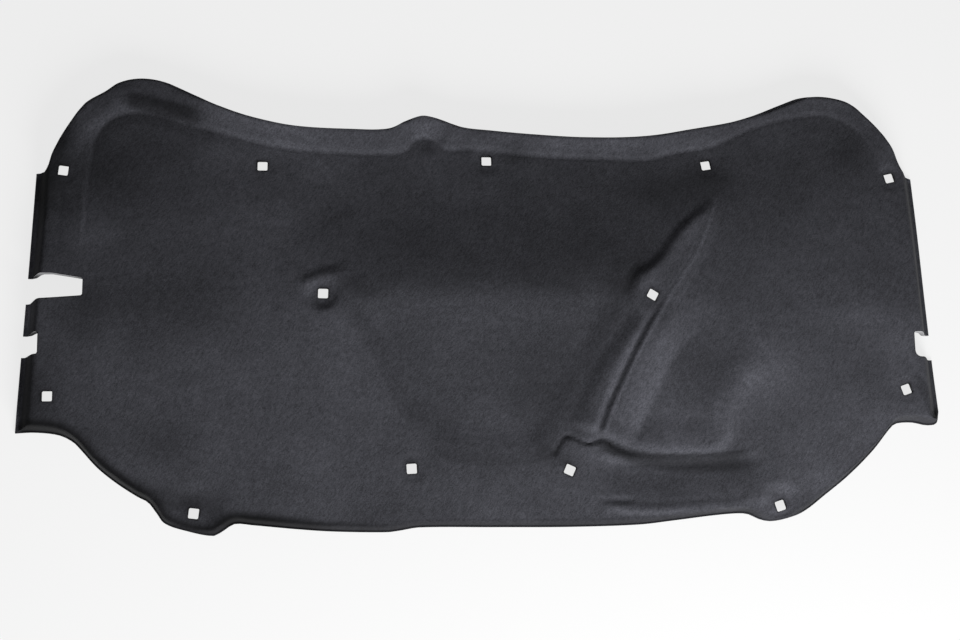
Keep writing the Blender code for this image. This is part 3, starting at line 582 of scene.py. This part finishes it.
# Engine side: edge thickness + (body height - it) * share of the way up; underside: (body
# height - body thickness) * its share, on a grid of every second row, joined by walls
def padSurface():
    u = sharesWithEdges(plan["length"], plan["sideRows"], plan["cell"])
    v = sharesWithEdges(plan["width"], plan["edgeRows"], plan["cell"])
    top = patch(u, v)
    under = patch(u[::2], v[::2])
    x, y = top[..., 0], top[..., 1]
    gaps = edgeGaps(x, y)
    lumps = sum(tall * softNoise(x, y, cell, seed) for tall, cell, seed in surfaceLumps)
    body = bodyHeight(x, y) + lumps
    z = section["edge"] + (body - section["edge"]) * edgeShare(gaps, 0.0)
    z = withSeats(x, y, z, 0.0)
    a, b = under[..., 0], under[..., 1]
    underGaps = edgeGaps(a, b)
    low = (bodyHeight(a, b) - section["body"]) * edgeShare(underGaps, section["wall"])
    low = withSeats(a, b, low, section["seat"])
    points = np.vstack([
        np.column_stack([x.ravel(), y.ravel(), z.ravel()]),
        np.column_stack([a.ravel(), b.ravel(), low.ravel()]),
    ])
    points[:, :2] -= plan["centre"]
    first = x.size
    faces = [tuple(q) for q in gridQuads(*x.shape, 0, False).tolist()]
    faces += [tuple(q) for q in gridQuads(*a.shape, first, True).tolist()]
    over, below = gridRim(*x.shape, 0), gridRim(*a.shape, first)
    walls = np.stack([
        below, np.roll(below, -1), np.roll(over, -2)[::2], np.roll(over, -1)[::2], over[::2],
    ], axis=-1)
    faces += [tuple(w) for w in walls.tolist()]
    mesh = bpy.data.meshes.new("insulationPad")
    mesh.from_pydata((points * 0.001).tolist(), [], faces)
    mesh.update()
    # The tone attribute holds the painted light and shade, with some uneven felt tone among it
    tone = np.concatenate([paintedLightAndShadeAt(x, y, gaps).ravel(), paintedLightAndShadeAt(a, b, underGaps).ravel()])
    mesh.attributes.new("tone", "FLOAT", "POINT").data.foreach_set("value", tone)
    return mesh


# A prism over each closed loop, from below the pad to above it, in metres
def prisms(loops, bottom=-0.02, top=0.08):
    points, faces = [], []
    for loop in loops:
        n, first = len(loop), len(points)
        flat = (np.array(loop) - plan["centre"]) * 0.001
        points += [(*p, bottom) for p in flat.tolist()] + [(*p, top) for p in flat.tolist()]
        faces.append(tuple(range(first + n - 1, first - 1, -1)))
        faces.append(tuple(range(first + n, first + 2 * n)))
        faces += [(first + i, first + (i + 1) % n, first + n + (i + 1) % n, first + n + i)
                  for i in range(n)]
    mesh = bpy.data.meshes.new("punch")
    mesh.from_pydata(points, [], faces)
    body = bpy.data.objects.new("punch", mesh)
    bpy.context.scene.collection.objects.link(body)
    return body


# Rounds each corner with an arc that touches both sides
def roundedLoop(corners, radii, steps=5):
    p = np.array(corners, float)
    loop = []
    for i, radius in enumerate(radii):
        if radius == 0:
            loop.append(tuple(p[i]))
            continue
        a, b = p[i - 1] - p[i], p[(i + 1) % len(p)] - p[i]
        a, b = a / np.hypot(*a), b / np.hypot(*b)
        half = math.acos(float(np.clip(a @ b, -1, 1))) / 2.0
        middle = (a + b) / np.hypot(*(a + b))
        centre = p[i] + middle * radius / math.sin(half)
        first, last = p[i] + a * radius / math.tan(half), p[i] + b * radius / math.tan(half)
        start = math.atan2(*(first - centre)[::-1])
        sweep = math.atan2(*(last - centre)[::-1]) - start
        sweep = (sweep + math.pi) % (2 * math.pi) - math.pi
        loop += [
            (centre[0] + radius * math.cos(start + sweep * k / steps),
             centre[1] + radius * math.sin(start + sweep * k / steps))
            for k in range(steps + 1)
        ]
    return loop


# A square with rounded corners, turned and then moved to its place
def clipHole(cx, cy, turn):
    h = clips["side"] / 2.0
    square = np.array(roundedLoop(((-h, -h), (h, -h), (h, h), (-h, h)), [clips["corner"]] * 4))
    c, s = turnOf(turn)
    return square @ np.array(((c, s), (-s, c))) + (cx, cy)


# The deep and the small notch of the left side, then the right side's
notches = (
    roundedLoop(
        ((-670, -7.5), (-608, -3.6), (-565.6, -0.5), (-565.6, 24.5), (-608, 31.5), (-670, 31.5)),
        (0, 0, 3, 3, 0, 0),
    ),
    roundedLoop(((-672, -82.5), (-624.1, -82.5), (-624.1, -51.5), (-672, -51.5)), (0, 3, 3, 0)),
    roundedLoop(((619.3, -90.5), (672, -90.5), (672, -53.5), (619.3, -53.5)), (9, 0, 0, 3)),
)


# The sheet with its clip holes and notches cut out
def punched(mesh):
    blank = bpy.data.objects.new("blank", mesh)
    bpy.context.scene.collection.objects.link(blank)
    cutter = prisms([clipHole(*hole[:3]) for hole in clips["holes"]] + list(notches))
    cut = blank.modifiers.new("punch", "BOOLEAN")
    cut.operation = "DIFFERENCE"
    cut.solver = "EXACT"
    cut.object = cutter
    graph = bpy.context.evaluated_depsgraph_get()
    done = bpy.data.meshes.new_from_object(blank.evaluated_get(graph))
    bpy.data.objects.remove(blank)
    bpy.data.objects.remove(cutter)
    return done


# Felt: dark and pale fibres, the notches' cut walls, a near-black painted shade for the clip holes'
# walls, then noise scales and ranges

felt = {
    "colour": (0.029, 0.0294, 0.0345), "pale": (0.077, 0.078, 0.0915), "cut": (0.26, 0.26, 0.27),
    # The hole colour is a near-black painted shade on the clip holes' walls
    "hole": (0.010, 0.010, 0.011),
    "roughness": 0.93, "specular": 0.12, "sheen": 0.04, "sheenRoughness": 0.6,
    "grain": 640.0, "fibre": 380.0, "fibreTurn": -35.0, "fibreStretch": 2.6,
    "contrast": (0.7, 1.3), "patch": 80.0, "mottle": 11.0, "noiseSpan": (0.3, 0.7),
    "patchRange": (0.92, 1.08), "mottleRange": (0.86, 1.14),
    "bump": 0.35, "bumpDepth": 0.0006,
}


# A new node: each value goes to its property, or else to its input of that name
def node(tree, kind, place, **values):
    made = tree.nodes.new(kind)
    made.location = place
    for name, value in values.items():
        if hasattr(made, name):
            setattr(made, name, value)
        else:
            made.inputs[name].default_value = value
    return made


# Dark to pale by grain + fibre, times the pad's tone attribute (painted light and shade, with some
# uneven felt tone) and two soft noises; the notches' cut walls have their own colour, the clip
# holes' walls a near-black painted shade, and grain + fibre gives the bump
def feltMaterial(values):
    material = bpy.data.materials.new("mouldedFelt")
    material.use_nodes = True
    tree = material.node_tree
    shader = tree.nodes["Principled BSDF"]
    shader.inputs["Roughness"].default_value = values["roughness"]
    shader.inputs["Specular IOR Level"].default_value = values["specular"]
    shader.inputs["Sheen Weight"].default_value = values["sheen"]
    shader.inputs["Sheen Roughness"].default_value = values["sheenRoughness"]
    place = node(tree, "ShaderNodeTexCoord", (-1400, 0))
    grain = node(tree, "ShaderNodeTexNoise", (-1000, 300), Scale=values["grain"], Detail=3.0)
    fibreMap = node(tree, "ShaderNodeMapping", (-1200, 0), vector_type="TEXTURE",
                    Rotation=(0, 0, math.radians(values["fibreTurn"])),
                    Scale=(1.0, values["fibreStretch"], 1.0))
    fibre = node(tree, "ShaderNodeTexNoise", (-1000, 0), Scale=values["fibre"], Detail=4.0,
                 Roughness=0.65)
    mottle = node(tree, "ShaderNodeTexNoise", (-1000, -300), Scale=values["mottle"], Detail=3.0)
    tree.links.new(place.outputs["Object"], grain.inputs["Vector"])
    tree.links.new(place.outputs["Object"], fibreMap.inputs["Vector"])
    tree.links.new(fibreMap.outputs["Vector"], fibre.inputs["Vector"])
    tree.links.new(place.outputs["Object"], mottle.inputs["Vector"])
    both = node(tree, "ShaderNodeMath", (-760, 160), operation="ADD")
    tree.links.new(grain.outputs["Fac"], both.inputs[0])
    tree.links.new(fibre.outputs["Fac"], both.inputs[1])
    contrast = node(tree, "ShaderNodeMapRange", (-560, 160))
    contrast.inputs["From Min"].default_value = values["contrast"][0]
    contrast.inputs["From Max"].default_value = values["contrast"][1]
    tree.links.new(both.outputs["Value"], contrast.inputs["Value"])
    tone = node(tree, "ShaderNodeMix", (-360, 200), data_type="RGBA")
    tone.inputs[6].default_value = (*values["colour"], 1.0)
    tone.inputs[7].default_value = (*values["pale"], 1.0)
    tree.links.new(contrast.outputs["Result"], tone.inputs[0])
    patches = node(tree, "ShaderNodeTexNoise", (-1000, -600), Scale=values["patch"], Detail=2.0)
    tree.links.new(place.outputs["Object"], patches.inputs["Vector"])
    shade = node(tree, "ShaderNodeVectorMath", (-160, 160), operation="SCALE")
    tree.links.new(tone.outputs[2], shade.inputs[0])
    # The tone attribute brings in the painted light and shade
    field = node(tree, "ShaderNodeAttribute", (-560, -520), attribute_name="tone").outputs["Fac"]
    for down, noise, name in ((-300, mottle, "mottleRange"), (-700, patches, "patchRange")):
        uneven = node(tree, "ShaderNodeMapRange", (-560, down))
        uneven.inputs["From Min"].default_value = values["noiseSpan"][0]
        uneven.inputs["From Max"].default_value = values["noiseSpan"][1]
        uneven.inputs["To Min"].default_value = values[name][0]
        uneven.inputs["To Max"].default_value = values[name][1]
        tree.links.new(noise.outputs["Fac"], uneven.inputs["Value"])
        scaled = node(tree, "ShaderNodeMath", (-360, down), operation="MULTIPLY")
        tree.links.new(uneven.outputs["Result"], scaled.inputs[0])
        tree.links.new(field, scaled.inputs[1])
        field = scaled.outputs["Value"]
    tree.links.new(field, shade.inputs["Scale"])
    cutShare = node(tree, "ShaderNodeAttribute", (-360, -120), attribute_name="cutFace")
    cutTone = node(tree, "ShaderNodeMix", (40, 160), data_type="RGBA")
    tree.links.new(cutShare.outputs["Fac"], cutTone.inputs[0])
    tree.links.new(shade.outputs["Vector"], cutTone.inputs[6])
    cutTone.inputs[7].default_value = (*values["cut"], 1.0)
    # Painted shade: the clip holes' walls are coloured near-black
    holeShare = node(tree, "ShaderNodeAttribute", (40, 0), attribute_name="holeWall")
    paintedHoleShade = node(tree, "ShaderNodeMix", (240, 160), data_type="RGBA")
    tree.links.new(holeShare.outputs["Fac"], paintedHoleShade.inputs[0])
    tree.links.new(cutTone.outputs[2], paintedHoleShade.inputs[6])
    paintedHoleShade.inputs[7].default_value = (*values["hole"], 1.0)
    tree.links.new(paintedHoleShade.outputs[2], shader.inputs["Base Color"])
    bump = node(tree, "ShaderNodeBump", (40, -200), Strength=values["bump"],
                Distance=values["bumpDepth"])
    tree.links.new(both.outputs["Value"], bump.inputs["Height"])
    tree.links.new(bump.outputs["Normal"], shader.inputs["Normal"])
    return material


# A wall's normal has almost no height, the notches' walls stand this far inside the outline,
# and edges above the angle stay sharp
cutFaces = {"upright": 0.02, "inside": 1.0, "sharpAngle": 50.0}


# Face shares: cutFace is 1 on the walls of the notches, holeWall on those of the clip holes,
# which get the painted shade colour
def markCutFaces(mesh):
    count = len(mesh.polygons)
    normal = np.empty(count * 3)
    middle = np.empty(count * 3)
    mesh.polygons.foreach_get("normal", normal)
    mesh.polygons.foreach_get("center", middle)
    upright = np.abs(normal.reshape(-1, 3)[:, 2]) < cutFaces["upright"]
    middle = middle.reshape(-1, 3)[:, :2] * 1000.0 + plan["centre"]
    inHole = np.zeros(count, bool)
    for hole in clips["holes"]:
        inHole |= np.hypot(*(middle - hole[:2]).T) < clips["side"]
    walls = np.flatnonzero(upright)
    inward = np.zeros(count, bool)
    nearest = np.min(list(edgeGaps(*middle[walls].T).values()), axis=0)
    inward[walls] = nearest > cutFaces["inside"]
    for name, share in (("cutFace", inward & ~inHole), ("holeWall", upright & inHole)):
        layer = mesh.attributes.new(name, "FLOAT", "FACE")
        layer.data.foreach_set("value", share.astype(np.float32))


padMesh = punched(padSurface())
padMesh.name = "insulationPad"
markCutFaces(padMesh)
padMesh.shade_smooth()
padMesh.set_sharp_from_angle(angle=math.radians(cutFaces["sharpAngle"]))
pad = bpy.data.objects.new("insulationPad", padMesh)
bpy.context.scene.collection.objects.link(pad)
padMesh.materials.clear()
padMesh.materials.append(feltMaterial(felt))
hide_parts("insulation_pad")
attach(pad, "root")
print("pad made:", len(padMesh.polygons), "faces")

# Floor and light

studio = {
    "floor": 0.86, "floorRoughness": 0.9, "floorHalf": 12.0, "glow": 0.78,
    "key": 78.0, "keyPlace": (0.6, -2.0, 0.86), "keySize": 1.2, "world": 0.10,
}


# A pale floor, which for the camera and for mirrored rays glows by a share
def addFloor(values):
    s = values["floorHalf"]
    mesh = bpy.data.meshes.new("floor")
    mesh.from_pydata([(-s, -s, 0), (s, -s, 0), (s, s, 0), (-s, s, 0)], [], [(0, 1, 2, 3)])
    floor = bpy.data.objects.new("floor", mesh)
    bpy.context.scene.collection.objects.link(floor)
    material = bpy.data.materials.new("paleFloor")
    material.use_nodes = True
    tree = material.node_tree
    plain = tree.nodes["Principled BSDF"]
    plain.inputs["Base Color"].default_value = (values["floor"],) * 3 + (1.0,)
    plain.inputs["Roughness"].default_value = values["floorRoughness"]
    glow = node(tree, "ShaderNodeEmission", (0, -300))
    glow.inputs["Color"].default_value = (1.0, 1.0, 1.0, 1.0)
    glow.inputs["Strength"].default_value = 1.0
    rays = node(tree, "ShaderNodeLightPath", (-600, 300))
    seen = node(tree, "ShaderNodeMath", (-200, 300), operation="MAXIMUM")
    share = node(tree, "ShaderNodeMath", (0, 300), operation="MULTIPLY")
    share.inputs[1].default_value = values["glow"]
    blend = node(tree, "ShaderNodeMixShader", (300, 0))
    tree.links.new(rays.outputs["Is Camera Ray"], seen.inputs[0])
    tree.links.new(rays.outputs["Is Glossy Ray"], seen.inputs[1])
    tree.links.new(seen.outputs["Value"], share.inputs[0])
    tree.links.new(share.outputs["Value"], blend.inputs["Fac"])
    tree.links.new(plain.outputs["BSDF"], blend.inputs[1])
    tree.links.new(glow.outputs["Emission"], blend.inputs[2])
    tree.links.new(blend.outputs["Shader"], tree.nodes["Material Output"].inputs["Surface"])
    mesh.materials.append(material)


# A round lamp that faces the origin
def addLamp(name, place, size, energy):
    data = bpy.data.lights.new(name, "AREA")
    data.shape = "DISK"
    data.size = size
    data.energy = energy
    lamp = bpy.data.objects.new(name, data)
    bpy.context.scene.collection.objects.link(lamp)
    back = np.array(place) / np.linalg.norm(place)
    right = np.cross((0, 0, 1), back)
    right = right / np.linalg.norm(right)
    lamp.matrix_world = Matrix.Translation(place) @ Matrix(
        (tuple(right), tuple(np.cross(back, right)), tuple(back))
    ).transposed().to_4x4()


# Soft light from all sides, which the camera sees as white
def addWorld(values):
    world = bpy.data.worlds.new("studio")
    world.use_nodes = True
    tree = world.node_tree
    light = tree.nodes["Background"]
    light.inputs["Strength"].default_value = values["world"]
    seen = node(tree, "ShaderNodeBackground", (0, -200))
    seen.inputs["Color"].default_value = (1.0, 1.0, 1.0, 1.0)
    seen.inputs["Strength"].default_value = 1.0
    light.inputs["Color"].default_value = (1.0, 1.0, 1.0, 1.0)
    rays = node(tree, "ShaderNodeLightPath", (-300, 200))
    blend = node(tree, "ShaderNodeMixShader", (200, 0))
    tree.links.new(rays.outputs["Is Camera Ray"], blend.inputs["Fac"])
    tree.links.new(light.outputs["Background"], blend.inputs[1])
    tree.links.new(seen.outputs["Background"], blend.inputs[2])
    tree.links.new(blend.outputs["Shader"], tree.nodes["World Output"].inputs["Surface"])
    bpy.context.scene.world = world


addFloor(studio)
addLamp("keyLamp", studio["keyPlace"], studio["keySize"], studio["key"])
addWorld(studio)
bpy.context.scene.view_settings.view_transform = "Standard"
print("studio ready")
